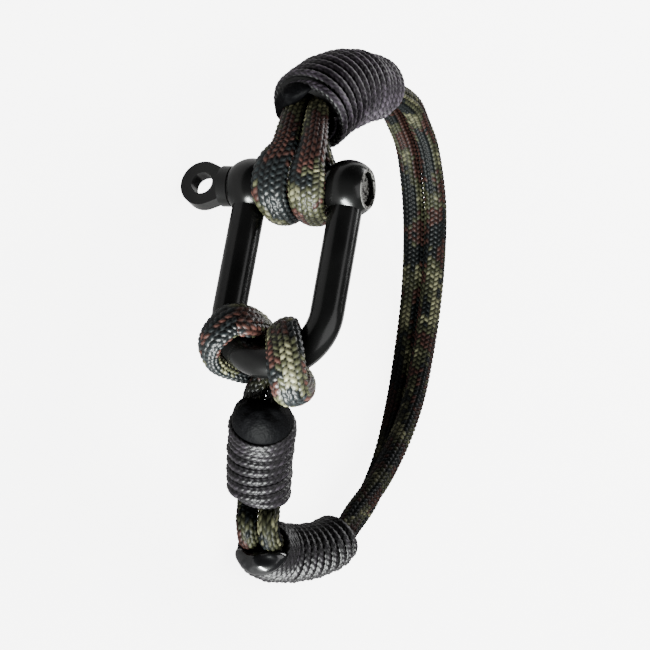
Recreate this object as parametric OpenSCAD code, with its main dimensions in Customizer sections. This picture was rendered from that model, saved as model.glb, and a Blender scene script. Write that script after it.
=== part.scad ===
/* [Shackle] */
// Diameter of the round bar that the bow is bent from
bar_d = 5; // [4.4:0.1:5.4]
// Clear gap between the two legs of the bow
jaw_gap = 10.6; // [10.4:0.1:12]
// Distance from the pin's axis to the centre of the bow's round end
leg_length = 19.5; // [18.5:0.5:24]
// Diameter of the ball-shaped ears
ear_d = 8.6; // [8.2:0.1:9.2]
// Distance from a leg's axis to the flat outer face of its ear
ear_reach = 3.1; // [2.7:0.1:3.5]

/* [Screw pin] */
// Diameter of the pin's shank
pin_d = 5; // [4.4:0.1:5.2]
// Radial play of the shank in the ears
pin_play = 0.08; // [0.05:0.01:0.2]
// Depth of the pin's end below the outer face of the far ear
pin_recess = 0.8; // [0.3:0.1:1.5]
// Diameter of the collar under the head
collar_d = 6.2; // [5.8:0.1:7]
// Thickness of the collar
collar_t = 1.6; // [1:0.1:2.4]
// Outer diameter of the eye in the head
eye_d = 7; // [6.4:0.1:8]
// Diameter of the hole through the eye
eye_hole_d = 3.4; // [2.4:0.1:4]
// Thickness of the flat head
head_t = 2.5; // [2:0.1:3.2]
// Width of the head where it leaves the collar
head_neck = 4.8; // [4:0.1:5.4]
// Distance from the collar to the eye's centre
eye_offset = 3.2; // [2.8:0.1:5]

/* [Cord] */
// Diameter of the braided cord where nothing squeezes it
cord_d = 4; // [3.4:0.1:4.1]
// Gap between two strands that lie side by side
strand_gap = 0.1; // [0.08:0.01:0.4]

/* [Whippings] */
// Diameter of the thin twine that the whippings are wound from
twine_d = 1.7; // [1.4:0.1:2]
// Thickness of the wound twine on the strands, in the top whipping near the pin
top_wind_t = 1.55; // [1.2:0.05:2]
// Thickness of the wound twine at the top whipping's far end
top_tail_t = 1.35; // [1.1:0.05:1.7]
// Thickness of the wound twine in the bottom whipping
bottom_wind_t = 0.95; // [0.85:0.05:1.4]
// Thickness of the wound twine in the side whipping
side_wind_t = 1.3; // [1:0.05:1.5]
// Turns of twine in the top whipping
top_turns = 13; // [10:1:18]
// Turns of twine in the bottom whipping
bottom_turns = 12; // [9:1:15]
// Turns of twine in the side whipping
side_turns = 8; // [7:1:12]
// Height of the domed end cap on a whipping
cap_height = 2.2; // [1.6:0.1:2.6]

/* [Hidden] */
$fn = 64;

// The bracelet lies on the pin's head, the bottom whipping and the far strands, so it leans a little
lean_x = -19.9;
lean_y = -1.4;
// Middle of the bracelet's outline, measured from the middle of the pin
wrist_x = 13.433;
wrist_y = 22.523;

// Everything below is drawn about the middle of the pin: x runs along the legs to the bow,
// y into the wrist opening and z along the pin
leg_z = (jaw_gap + bar_d) / 2;
ear_face = leg_z + ear_reach;
seat_gap = 0.05;
weld = 0.01;
pin_chamfer = 0.4;
// A cut runs this far past the faces that it goes through
cut_past = 1;
collar_z = -(ear_face + seat_gap);
eye_z = collar_z - collar_t - eye_offset;
packing = 0.05;
tube_sides = 10;
sleeve_sides = 16;
rings_per_turn = 3;
rib_depth = twine_d * 0.34;
// A whipping squeezes the strands to this share of their diameter, and a cap pushes them aside
tight_d = cord_d * 0.86;
cap_shift = 0.9;
bore_d = 2 * (norm([cap_shift, (tight_d + strand_gap) / 2]) + tight_d / 2 + packing) / cos(180 / sleeve_sides);
// The top whipping's mouth is wider, because the loop's two pairs of strands go in side by side
wide_bore_d = bore_d + cord_d * 0.6;
// Far from a cap the strands lie in the middle, so the bore is narrower there
tail_bore_d = (2 * tight_d + strand_gap + 4 * packing) / cos(180 / sleeve_sides);
// Outer diameters of the whippings. The bottom one thins out to this share of its winding at the far end
bottom_taper = 0.7;
top_whip_d = wide_bore_d + 2 * top_wind_t;
top_tail_d = bore_d + 2 * top_tail_t;
bottom_whip_d = bore_d + 2 * bottom_wind_t;
bottom_tail_d = tail_bore_d + 2 * bottom_wind_t * bottom_taper;
side_whip_d = bore_d + 2 * side_wind_t;
side_tail_d = tail_bore_d + 2 * side_wind_t;
// Gap under a cap, and how far from the whipping's axis a cap starts
cap_gap = 0.12;
cap_start = 1.2;
top_cap_start = 3.9;
// The top cap is turned this far towards the pin's head
top_cap_turn = 40;

// Lowest point of the leaning pin head, which sets the height of the whole bracelet
function height_of(x, y, z) = -x * sin(lean_y) + (y * sin(lean_x) + z * cos(lean_x)) * cos(lean_y);
floor_drop = -height_of(-wrist_x, -wrist_y, eye_z)
  + eye_d / 2 * norm([sin(lean_y), cos(lean_y) * cos(lean_x)]) + head_t / 2 * abs(sin(lean_x)) * cos(lean_y);

// Vectors and smooth routes
function unit(v) = v / norm(v);
function place(row) = [row[0], row[1], row[2]];
// A smooth row between the rows of a table, all columns together
function between(a, b, c, d, f) =
  0.5 * (2 * b + (c - a) * f + (2 * a - 5 * b + 4 * c - d) * f * f + (3 * b - a - 3 * c + d) * f * f * f);
function row_at(rows, t) =
  let (last = len(rows) - 1, i = min(floor(t), last - 1), f = t - i)
  between(i > 0 ? rows[i - 1] : 2 * rows[0] - rows[1], rows[i], rows[i + 1],
    i + 2 <= last ? rows[i + 2] : 2 * rows[last] - rows[last - 1], f);
function smooth(rows, steps) = [for (k = [0 : (len(rows) - 1) * steps]) row_at(rows, k / steps)];
// Directions along a route, and the width axis: either the upright one or one carried along without twist
function directions(pts) = [for (i = [0 : len(pts) - 1])
  unit(pts[min(i + 1, len(pts) - 1)] - pts[max(i - 1, 0)])];
function upright(dirs) = [for (d = dirs) unit([0, 0, 1] - d[2] * d)];
function carried(dirs, start, i = 0, found = []) = i == len(dirs) ? found :
  let (was = i == 0 ? start : found[i - 1])
  carried(dirs, start, i + 1, concat(found, [unit(was - (was * dirs[i]) * dirs[i])]));
// One ring of points round a place, width w along the axis and thickness t across it
function ring(at, dir, axis, w, t, sides) = let (other = cross(dir, axis))
  [for (k = [0 : sides - 1]) let (a = 360 * (k + 0.5) / sides)
    at + axis * w / 2 * cos(a) + other * t / 2 * sin(a)];
// The faces of a closed tube through rings, and of a closed sleeve through rings that come back inside
function wrap(count, sides) = [for (i = [0 : count - 2], j = [0 : sides - 1])
  let (k = (j + 1) % sides)
  [i * sides + k, i * sides + j, (i + 1) * sides + j, (i + 1) * sides + k]];

// A cord swept through rows of [x, y, z, width, thickness, twist], on the route or on one side of it as
// half of a pair. The last column, where there is one, turns the width axis about the route, in degrees
module cord(rows, steps, side = 0) {
  route = smooth(rows, steps);
  pts = [for (r = route) place(r)];
  dirs = directions(pts);
  flat = side == 0 ? carried(dirs, [0, 0, 1]) : upright(dirs);
  count = len(route);
  axes = [for (i = [0 : count - 1]) let (twist = len(route[i]) > 5 ? route[i][5] : 0)
    flat[i] * cos(twist) + cross(dirs[i], flat[i]) * sin(twist)];
  rings = [for (i = [0 : count - 1]) let (w = route[i][3], t = route[i][4])
    each ring(pts[i] + axes[i] * side * (w + strand_gap) / 2, dirs[i], axes[i], w, t, tube_sides)];
  polyhedron(rings, concat(wrap(count, tube_sides),
    [[for (j = [0 : tube_sides - 1]) j]],
    [[for (j = [tube_sides - 1 : -1 : 0]) (count - 1) * tube_sides + j]]), convexity = 8);
}

// A whipping swept through rows of [x, y, z, outer diameter, bore diameter], with one rib for each turn
function sleeve(rows, turns) = let (count = turns * rings_per_turn)
  [for (i = [0 : count]) row_at(rows, (len(rows) - 1) * i / count)];
module whipping(rows, turns) {
  route = sleeve(rows, turns);
  count = len(route);
  pts = [for (r = route) place(r)];
  dirs = directions(pts);
  axes = upright(dirs);
  outer = [for (i = [0 : count - 1]) let (d = route[i][3] - (i % rings_per_turn == 0 ? rib_depth : 0))
    each ring(pts[i], dirs[i], axes[i], d, d, sleeve_sides)];
  inner = [for (i = [count - 1 : -rings_per_turn : 0])
    each ring(pts[i], dirs[i], axes[i], route[i][4], route[i][4], sleeve_sides)];
  total = count + turns + 1;
  closing = [for (j = [0 : sleeve_sides - 1]) let (k = (j + 1) % sleeve_sides, e = (total - 1) * sleeve_sides)
    [e + k, e + j, j, k]];
  polyhedron(concat(outer, inner), concat(wrap(total, sleeve_sides), closing), convexity = 8);
}

// A domed cap that sits on the near end of a whipping, on its outer side, and leaves room for the strands
module end_cap(rows, turns, hint, d, start) {
  route = sleeve(rows, turns);
  at = place(route[0]);
  dir = unit(at - place(route[1]));
  r = d / 2;
  out = unit(hint - (hint * dir) * dir);
  ball_r = (r * r + cap_height * cap_height) / (2 * cap_height);
  side = cross(dir, out);
  multmatrix([[out[0], side[0], dir[0], at[0]], [out[1], side[1], dir[1], at[1]],
      [out[2], side[2], dir[2], at[2]], [0, 0, 0, 1]])
    intersection() {
      translate([0, 0, cap_height - ball_r]) sphere(r = ball_r);
      translate([start, -r, cap_gap]) cube([r, d, cap_height]);
    }
}

// The whole bracelet is laid down as it rests
module laid() {
  translate([0, 0, floor_drop]) rotate([lean_x, lean_y, 0])
    translate([-wrist_x, -wrist_y, 0]) children();
}

// Routes, measured from the middle of the pin. The two strands of a pair lie side by side,
// one above and one below the route
// Loop over the pin: x, y, z, width of one strand, its thickness
pin_loop_rows = [
  [-20.2, 6.4, 2.4, 3.3, 3.2],
  [-17.6, 2.3, 1.3, 3.3, 3.2],
  [-14.7, -0.8, 0.5, 3.4, 3.2],
  [-11.6, -2.8, 0.1, 3.6, 3.2],
  [-8.3, -4.1, 0.5, 4, 3.1],
  [-4.6, -5, 0.8, 4.5, 3],
  [-1, -5.1, 0.2, 5.7, 2.9],
  [2.3, -4.1, 0, 5.8, 2.9],
  [4, -1.7, 0, 5.2, 2.9],
  [4, 1.7, 0, 5, 2.9],
  [1.6, 4.1, 0, 5, 2.9],
  [-1.4, 4.2, 0, 4.8, 2.9],
  [-4.2, 2.6, 0.2, 4, 3],
  [-6.4, 0.2, 0.4, 3.2, 3],
  [-9.3, -1.1, 0.2, 2.9, 2.9],
  [-12.4, 1.6, 0.8, 3, 3],
  [-15.1, 4.3, 1.5, 3, 3],
  [-17.3, 7.8, 2.4, 3, 3]];

// Band from inside the top whipping round the wrist into the side whipping:
// x, y, z, width and thickness of one strand as shares of the cord's diameter, and the pair's twist
band_rows = [
  [-20, 8.2, 2.6, 0.83, 0.8, 0],
  [-22.5, 13.7, 3.2, 0.84, 0.84, 0],
  [-24, 22, 3.8, 0.93, 0.93, 0],
  [-23.4, 28.8, 3.5, 0.91, 0.91, 0],
  [-21.2, 34.6, 3.5, 0.92, 0.92, 0],
  [-15.1, 41.5, 3.3, 0.95, 0.95, 0],
  [-7.9, 46, 3, 0.95, 0.95, 7],
  [0.1, 48.9, 2.7, 0.95, 0.95, 14],
  [8.6, 50.3, 2.4, 0.95, 0.95, 19],
  [17.5, 50.3, 2.2, 0.95, 0.95, 27],
  [26.4, 48.3, 1.9, 0.95, 0.95, 44],
  [34.3, 44.7, 1.3, 0.95, 0.95, 57],
  [40, 41, 0.3, 0.9, 0.9, 64],
  [43.7, 38.4, -0.3, 0.86, 0.86, 62],
  [46.5, 35.2, -2, 0.86, 0.86, 50],
  [48.3, 31.3, -4.2, 0.86, 0.86, 25],
  [48.9, 27.1, -6.1, 0.86, 0.86, 0],
  [48.8, 22.9, -6.3, 0.86, 0.86, 0],
  [48.8, 20.4, -5.9, 0.86, 0.86, 0],
  [47, 18.7, -5.8, 0.86, 0.86, 0],
  [43.9, 18.9, -6.3, 0.86, 0.86, 0],
  [40.7, 16, -5.6, 0.86, 0.86, 0],
  [39, 14.3, -5.2, 0.86, 0.86, 0]];

// Cow hitch on the bow, from the upper strand round to the lower one:
// x, y, z, width, thickness, and the twist that lays the flattened cord on the bar
hitch_rows = [
  [38.4, 13.6, -3.1, 3.4, 3.4, 0],
  [35.4, 11.1, -2.1, 3.4, 3.4, 0],
  [33.3, 8.4, -1.3, 3.4, 3.4, 0],
  [31, 6.2, -0.6, 3.4, 3.4, 0],
  [28.6, 4.8, 0.8, 3.4, 3.2, 0],
  [26, 4.3, 1.9, 3.5, 3.2, 0],
  [23.4, 2.7, 2, 3.8, 3.2, 12],
  [22.3, 0, 2, 4.2, 3.2, 22],
  [22.6, -1.9, 2.4, 4.7, 3.1, 24],
  [23.8, -3.8, 3.1, 5.3, 3, 24],
  [26.6, -4.7, 4.3, 5.7, 3, 18],
  [30, -3.8, 5, 5.8, 3, 9],
  [32.3, -1, 5.1, 5.2, 3, 3],
  [30.6, 3.6, 4.4, 4, 3.2, 0],
  [28.1, 6.6, 3.3, 3.2, 3.2, 0],
  [26.2, 7.7, 1.4, 3.1, 3.1, 0],
  [26.1, 7.8, -1.3, 3.1, 3.1, 0],
  [27.3, 6.8, -5, 3.1, 3.1, 0],
  [27.7, 3.6, -7.5, 3.2, 3.1, 0],
  [27.6, 0.6, -8.9, 3.9, 3.1, 8],
  [26.7, -1.8, -9.1, 4.3, 3, 16],
  [25.6, -3.7, -8.2, 4.4, 3, 20],
  [24.2, -4.3, -6.7, 4.7, 3, 24],
  [22.5, -4, -5.1, 5, 3, 27],
  [21.7, -2.7, -3.7, 5, 3, 26],
  [21.4, 0.2, -2.8, 4.4, 3.1, 18],
  [22.6, 2.2, -2.1, 3.3, 3.2, 0],
  [25, 4, -1.9, 3.3, 3.2, 0],
  [28.2, 4.7, -2.7, 3.4, 3.2, 0],
  [30.6, 5.5, -3.9, 3.4, 3.4, 0],
  [33.1, 7.4, -4.6, 3.3, 3.3, 0],
  [34.8, 10.4, -5.5, 3.4, 3.4, 0],
  [37.9, 13.1, -6.5, 3.4, 3.4, 0]];

// Whippings: x, y, z, and the share of the way from the end's diameter and bore to the tail's
top_rows = [
  [-10.8, -2.3, -0.1, 0],
  [-13.8, -0.1, 0.6, 0],
  [-16.8, 2.9, 1.4, 0.1],
  [-19.4, 6.7, 2.4, 0.35],
  [-21.3, 10.4, 2.9, 0.85],
  [-22.8, 14.4, 3.3, 1]];
bottom_rows = [
  [49.6, 22.9, -6.3, 0],
  [49.4, 27.1, -6.1, 0],
  [48.4, 31.3, -4.2, 0.4],
  [46.5, 35.2, -2, 0.8],
  [43.7, 38.4, -0.3, 1]];
side_rows = [
  [33.8, 7.5, -2.8, 0],
  [35.5, 10.6, -3.9, 0],
  [37.9, 13.2, -4.9, 0.3],
  [40.7, 16, -5.6, 0.7],
  [43, 18.1, -6.2, 1]];

// Rows with the last columns in mm
function fitted(rows, size) = [for (r = rows) [r[0], r[1], r[2], r[3] * size, r[4] * size, r[5]]];
function sized(rows, from_d, to_d, from_bore, to_bore) = [for (r = rows)
  [r[0], r[1], r[2], from_d + r[3] * (to_d - from_d), from_bore + r[3] * (to_bore - from_bore)]];
top_sleeve = sized(top_rows, top_whip_d, top_tail_d, wide_bore_d, bore_d);
bottom_sleeve = sized(bottom_rows, bottom_whip_d, bottom_tail_d, bore_d, tail_bore_d);
side_sleeve = sized(side_rows, side_whip_d, side_tail_d, bore_d, tail_bore_d);

// A leg's ear: a ball with a flat outer face and a flat inner face
module ear() {
  intersection() {
    sphere(d = ear_d);
    translate([-ear_d / 2, -ear_d / 2, -bar_d / 2]) cube([ear_d, ear_d, bar_d / 2 + ear_reach]);
  }
}

module shackle_bow() {
  color("#1b1b1d") laid() difference() {
    union() {
      for (side = [1, -1]) {
        translate([0, 0, side * leg_z]) mirror([0, 0, side < 0 ? 1 : 0]) ear();
        translate([0, 0, side * leg_z]) rotate([0, 90, 0]) cylinder(d = bar_d, h = leg_length);
      }
      translate([leg_length, 0, 0]) rotate([0, 90, 0]) rotate([90, 0, 0])
        rotate_extrude(angle = 180) translate([leg_z, 0]) circle(d = bar_d);
    }
    translate([0, 0, -ear_face - cut_past])
      cylinder(d = pin_d + 2 * pin_play, h = 2 * (ear_face + cut_past));
  }
}

module screw_pin() {
  // The neck meets the eye on a slant, a quarter of the eye's diameter above its centre
  neck_end = eye_z + eye_d * 0.25;
  tip = ear_face - pin_recess - pin_chamfer;
  color("#222225") laid() {
    translate([0, 0, collar_z - weld]) cylinder(d = pin_d, h = tip - collar_z + weld);
    translate([0, 0, tip]) cylinder(d1 = pin_d, d2 = pin_d - 2 * pin_chamfer, h = pin_chamfer);
    translate([0, 0, collar_z - collar_t]) cylinder(d = collar_d, h = collar_t);
    translate([0, head_t / 2, 0]) rotate([90, 0, 0]) linear_extrude(head_t) difference() {
      union() {
        translate([0, eye_z]) circle(d = eye_d);
        polygon([[-head_neck / 2, collar_z - collar_t + weld], [head_neck / 2, collar_z - collar_t + weld],
          [eye_d * 0.44, neck_end], [-eye_d * 0.44, neck_end]]);
      }
      translate([0, eye_z]) circle(d = eye_hole_d);
    }
  }
}

module pin_loop_upper() color("#5d6145") laid() cord(pin_loop_rows, 3, 1);
module pin_loop_lower() color("#6a5a45") laid() cord(pin_loop_rows, 3, -1);

module band_strand_upper() color("#5d6145") laid() cord(fitted(band_rows, cord_d), 2, 1);
module band_strand_lower() color("#6a5a45") laid() cord(fitted(band_rows, cord_d), 2, -1);

module hitch_cord() color("#66644a") laid() cord(hitch_rows, 3);

module whipping_top() color("#2d2a30") laid() whipping(top_sleeve, top_turns);
module whipping_bottom() color("#2d2a30") laid() whipping(bottom_sleeve, bottom_turns);
module whipping_side() color("#2d2a30") laid() whipping(side_sleeve, side_turns);

module end_cap_top() color("#232126") laid()
  end_cap(top_sleeve, top_turns, [-cos(top_cap_turn) * 0.6, -cos(top_cap_turn) * 0.8, -sin(top_cap_turn)],
    top_whip_d - twine_d, top_cap_start);
module end_cap_bottom() color("#232126") laid()
  end_cap(bottom_sleeve, bottom_turns, [1, 0, 0], bottom_whip_d - twine_d / 2, cap_start);
module end_cap_side() color("#232126") laid()
  end_cap(side_sleeve, side_turns, [0.7, -0.3, 0.1], side_whip_d - twine_d / 2, cap_start);

shackle_bow();
screw_pin();
pin_loop_upper();
pin_loop_lower();
band_strand_upper();
band_strand_lower();
hitch_cord();
whipping_top();
whipping_bottom();
whipping_side();
end_cap_top();
end_cap_bottom();
end_cap_side();
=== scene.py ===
# %% [markdown]
# # A paracord bracelet with a bow shackle
# The real thing is one length of braided nylon cord. Its two ends and its middle meet a small black
# shackle, and three whippings of thin twine hold the strands together. It lies on its side and
# leans on the head of the shackle's pin. The shackle and its pin come from the CAD frame. All the
# cord and twine is made here as surfaces worked out with numpy.

# %% Load the frame
import math

import bpy
import numpy as np
from mathutils import Matrix


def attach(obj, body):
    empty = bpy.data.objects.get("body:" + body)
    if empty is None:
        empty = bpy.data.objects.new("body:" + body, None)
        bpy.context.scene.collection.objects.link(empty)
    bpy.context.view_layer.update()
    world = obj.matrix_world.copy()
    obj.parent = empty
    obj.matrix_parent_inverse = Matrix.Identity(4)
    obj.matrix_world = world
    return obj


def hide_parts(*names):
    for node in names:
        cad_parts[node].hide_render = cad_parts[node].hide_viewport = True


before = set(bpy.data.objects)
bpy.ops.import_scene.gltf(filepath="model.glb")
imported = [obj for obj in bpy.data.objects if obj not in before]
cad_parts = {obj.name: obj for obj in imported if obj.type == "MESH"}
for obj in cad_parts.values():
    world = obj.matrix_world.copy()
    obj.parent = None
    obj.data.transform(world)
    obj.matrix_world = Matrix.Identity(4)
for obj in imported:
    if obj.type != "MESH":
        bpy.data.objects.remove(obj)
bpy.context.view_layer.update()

# %% [markdown]
# ## From the drawing to the floor
# The routes below are in millimetres about the middle of the pin, as they are drawn in the CAD
# source: x runs along the shackle's legs to its bow, y across the wrist opening and z along the
# pin. One turn and one lift lay them down on the floor, in metres, just as the CAD does. The pieces
# could be made flat and turned as objects, but a finished piece has to keep its place in its mesh.

# %% Lay points down
MM = 0.001
LEAN_X, LEAN_Y = math.radians(-19.9), math.radians(-1.4)
WRIST = np.array([13.433, 22.523, 0.0])
EYE_Z, EYE_R, HEAD_T = -15.75, 3.5, 2.5
TURN_X = np.array([[1, 0, 0],
                   [0, math.cos(LEAN_X), -math.sin(LEAN_X)],
                   [0, math.sin(LEAN_X), math.cos(LEAN_X)]])
TURN_Y = np.array([[math.cos(LEAN_Y), 0, math.sin(LEAN_Y)],
                   [0, 1, 0],
                   [-math.sin(LEAN_Y), 0, math.cos(LEAN_Y)]])
LEAN = TURN_Y @ TURN_X
EYE = LEAN @ (np.array([0, 0, EYE_Z]) - WRIST)
DROP = -EYE[2] + EYE_R * math.hypot(LEAN[2, 0], LEAN[2, 2]) + HEAD_T / 2 * abs(LEAN[2, 1])


def laid(points):
    """Drawing millimetres to metres on the floor: wrist's middle to zero, turn, lift, scale."""
    return ((np.asarray(points, float) - WRIST) @ LEAN.T + [0, 0, DROP]) * MM


print("the frame is lifted by", round(DROP, 2), "mm")

# %% [markdown]
# ## The camera
# The photograph looks along the shackle from outside the ring, with the pin lying left to right.
# The camera stands in the same place by the shackle, so it looks down on the floor and is rolled on
# its side. A long lens keeps the far side of the ring almost as large as the near one. Its axes
# could be found with a Track To constraint, but they were fitted to the shackle in the photograph,
# roll included, so they are written down as three directions.

# %% Camera
FOCAL_LENGTH, SENSOR_WIDTH = 118.66, 36
NEAREST, FARTHEST = 0.01, 10
EYE_POINT = np.array([110.78, -270.24, 127.55])
ACROSS = np.array([-0.16548, 0.35326, 0.92076])
UPWARD = np.array([-0.94271, -0.33102, -0.0424])
BACKWARD = np.array([0.28983, -0.87495, 0.38775])


def stood(thing, across, upward, backward, at):
    """Stand a camera or a lamp at a place in metres: its three axes are the columns of its matrix."""
    pose = np.eye(4)
    pose[:3, :3] = np.stack([across, upward, backward], 1)
    pose[:3, 3] = at
    thing.matrix_world = Matrix(pose.tolist())


camera = bpy.data.objects.new("camera", bpy.data.cameras.new("camera"))
bpy.context.collection.objects.link(camera)
bpy.context.scene.camera = camera
camera.data.lens, camera.data.sensor_width = FOCAL_LENGTH, SENSOR_WIDTH
camera.data.clip_start, camera.data.clip_end = NEAREST, FARTHEST
stood(camera, LEAN @ ACROSS, LEAN @ UPWARD, LEAN @ BACKWARD, laid(EYE_POINT))
print("the camera stands", round(float(laid(EYE_POINT)[2]), 3), "m above the floor")

# %% [markdown]
# ## Carrying a profile along a route
# A cord is a profile that slides along a smooth route. The route is a short table of places and
# sizes, and a Catmull-Rom curve runs through them. It is stepped evenly in millimetres, because the
# plait of the sheath has to keep its size wherever the table's rows happen to lie. Blender's own
# curves with a bevel profile do much the same, but they give no hold on each point of the skin.

# %% Routes
FINE_SAMPLES, LEAST_STEPS = 60, 4
PIN_WAY = np.array([0.0, 0.0, 1.0])


def along(rows, t):
    """Rows between the rows: a cubic that leaves row i with half the step from row i-1 to i+1."""
    ends = np.vstack([2 * rows[0] - rows[1], rows, 2 * rows[-1] - rows[-2]])
    i = np.clip(t.astype(int), 0, len(rows) - 2)
    f = (t - i)[:, None]
    a, b, c, d = ends[i], ends[i + 1], ends[i + 2], ends[i + 3]
    square, cube = 2 * a - 5 * b + 4 * c - d, 3 * b - a - 3 * c + d
    return 0.5 * (2 * b + (c - a) * f + square * f ** 2 + cube * f ** 3)


def paced(rows, step):
    """The route cut into equal steps: arc length is summed on a fine sampling and read backwards."""
    rows = np.asarray(rows, float)
    t = np.linspace(0, len(rows) - 1, FINE_SAMPLES * len(rows))
    fine = along(rows, t)[:, :3]
    length = np.r_[0, np.cumsum(np.linalg.norm(np.diff(fine, axis=0), axis=1))]
    run = np.linspace(0, length[-1], max(LEAST_STEPS, round(length[-1] / step) + 1))
    return along(rows, np.interp(run, length, t)), run


def unit(v):
    """Each vector divided by its own length."""
    return v / np.linalg.norm(v, axis=-1, keepdims=True)


def upright(heads):
    """The width axis of each ring: the pin's direction with the part along the route taken away."""
    return unit(PIN_WAY - heads * (heads @ PIN_WAY)[:, None])


def carried(heads):
    """The width axis handed from ring to ring, each time with the part along the route taken away."""
    axes = [PIN_WAY]
    for head in heads:
        flat = axes[-1] - head * (axes[-1] @ head)
        axes.append(flat / np.linalg.norm(flat))
    return np.array(axes[1:])


def twisted(axes, heads, degrees):
    """The width axis turned about the route: cosine times the axis plus sine times its normal."""
    angle = np.radians(degrees)[:, None]
    return axes * np.cos(angle) + np.cross(heads, axes) * np.sin(angle)


quarter = paced([[10, 0, 0], [7.07, 7.07, 0], [0, 10, 0]], 1.0)[1]
print("a test route round a quarter of a 10 mm circle is", round(float(quarter[-1]), 2), "mm long")

# %% [markdown]
# ## The plait of the sheath
# The sheath is a braid: seen close, columns of short slanted grains. Neighbouring columns slant
# opposite ways and are half a grain apart, so the grains interlock like the teeth of a zip. A bump
# in the material would do from afar. Here the relief is one formula on the unrolled sheath and
# becomes real geometry, because the grains break the outline of the cord.

# %% Plait formula
ACROSS_POWER, ALONG_POWER = 2.6, 2.4


def plait(turn, run, columns, pitch, slant):
    """Relief from 0 in a groove to 1 on a grain, with the grain's column and number.
    Columns are equal slices of the turn. Every second column slants the other way and is moved by
    half a grain. A grain is a rounded block: one minus a power of the distance from its middle,
    across times along."""
    turn, run = np.broadcast_arrays(turn, run)
    across = turn * columns
    column = np.floor(across)
    x = across - column - 0.5
    lean = np.where(column % 2 == 0, slant, -slant)
    y = run / pitch + lean * x + 0.5 * (column % 2)
    number = np.floor(y)
    t = y - number - 0.5
    crown = (1 - np.abs(2 * x) ** ACROSS_POWER) * (1 - np.abs(2 * t) ** ALONG_POWER)
    return np.sqrt(np.clip(crown, 0, 1)), column % columns, number


top, edge = plait(np.array([0.5, 0.0]), np.array([0.5, 0.5]), 1, 1.0, 0.0)[0]
print("relief in the middle of a grain", top, "and at its edge", edge)

# %% [markdown]
# ## Yarns that differ, yet always in the same way
# No two yarns are quite alike, but the script has to give the same bracelet each time. A seeded
# generator would do, but its draws depend on their order. Here each value is worked out from the
# whole numbers of its own grain, and a smooth field is blended from such values.

# %% Scatter and drift
SCATTER_WEIGHTS, SCATTER_SCALE = (12.9898, 78.233, 37.719), 43758.5453


def scatter(*keys):
    """A fixed pseudo-random share from 0 to 1 for whole-number keys: the fraction of a large sine."""
    mixed = sum(k * w for k, w in zip(keys, SCATTER_WEIGHTS))
    return np.modf(np.abs(np.sin(mixed) * SCATTER_SCALE))[0]


def drift(a, b, seed):
    """Smooth pseudo-random field from -1 to 1: scattered values on a square grid, blended between."""
    i, j = np.floor(a), np.floor(b)
    f, g = a - i, b - j
    f, g = f * f * (3 - 2 * f), g * g * (3 - 2 * g)
    low = scatter(i, j, seed) * (1 - f) + scatter(i + 1, j, seed) * f
    high = scatter(i, j + 1, seed) * (1 - f) + scatter(i + 1, j + 1, seed) * f
    return 2 * (low * (1 - g) + high * g) - 1


print("the mean of 1000 scattered values is", round(float(scatter(np.arange(1000)).mean()), 2))

# %% [markdown]
# ## Camouflage yarns
# The nylon yarns are dyed in stretches of olive, sand, near-black navy and red-brown. A stretch
# runs for 3 to 5 mm and covers a few columns, and single grains stray over its edge. Noise nodes in
# the material could give such patches, but they would cut grains in two. So the colour is worked
# out once for each grain and kept as a colour attribute.

# %% Cord colours
OLIVE, SAND = (0.033, 0.034, 0.018), (0.11, 0.108, 0.062)
NAVY, RUST = (0.0042, 0.0056, 0.0062), (0.03, 0.0122, 0.0095)
NAVY_FROM, RUST_FROM, SAND_UNDER = 0.22, 0.12, -0.5
NAVY_STRETCH, RUST_STRETCH = 4.2, 3.6
PATCHES_ROUND, STRAY = 5, 0.6
DARKEST, SPREAD = 0.6, 0.8


def camouflage(column, number, pitch, columns, seed):
    """One colour for each grain. A high first field gives navy. Elsewhere a high second field gives
    rust, a low one sand, and the rest is olive. Both fields are smooth along the cord and round it,
    plus a stray amount for each grain, and each grain has its own lightness. What is added to the
    places and the seed of the second field makes it differ from the first."""
    ring, run = column / columns * PATCHES_ROUND, number * pitch
    one = drift(run / NAVY_STRETCH, ring, seed) + STRAY * (scatter(column, number, seed) - 0.5)
    two = (drift(run / RUST_STRETCH + 7.3, ring + 3.1, seed + 5)
           + STRAY * (scatter(column, number, seed + 9) - 0.5))
    colour = np.empty(column.shape + (3,))
    colour[:] = OLIVE
    colour[one > NAVY_FROM] = NAVY
    colour[(one <= NAVY_FROM) & (two > RUST_FROM)] = RUST
    colour[(one <= NAVY_FROM) & (two < SAND_UNDER)] = SAND
    return colour * (DARKEST + SPREAD * scatter(column + 3, number + 11, seed + 2))[..., None]


print("point_colours", OLIVE, SAND, NAVY, RUST)

# %% [markdown]
# ## From arrays to a mesh
# Every piece here is a grid of rings. Neighbouring rings are joined by four-sided faces and the two
# ends are closed, so each piece is a closed skin. Such a grid could be built face by face with
# bmesh. But the bracelet has nearly half a million points, so whole arrays go straight into the
# mesh.

# %% Rings to faces
def ring_faces(count, sides, first):
    """Four-sided faces between each ring and the next, as whole-number arrays."""
    i, j = np.meshgrid(np.arange(count - 1), np.arange(sides), indexing="ij")
    k = (j + 1) % sides
    quad = np.stack([i * sides + j, (i + 1) * sides + j, (i + 1) * sides + k, i * sides + k], -1)
    return quad.reshape(-1, 4) + first


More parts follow.
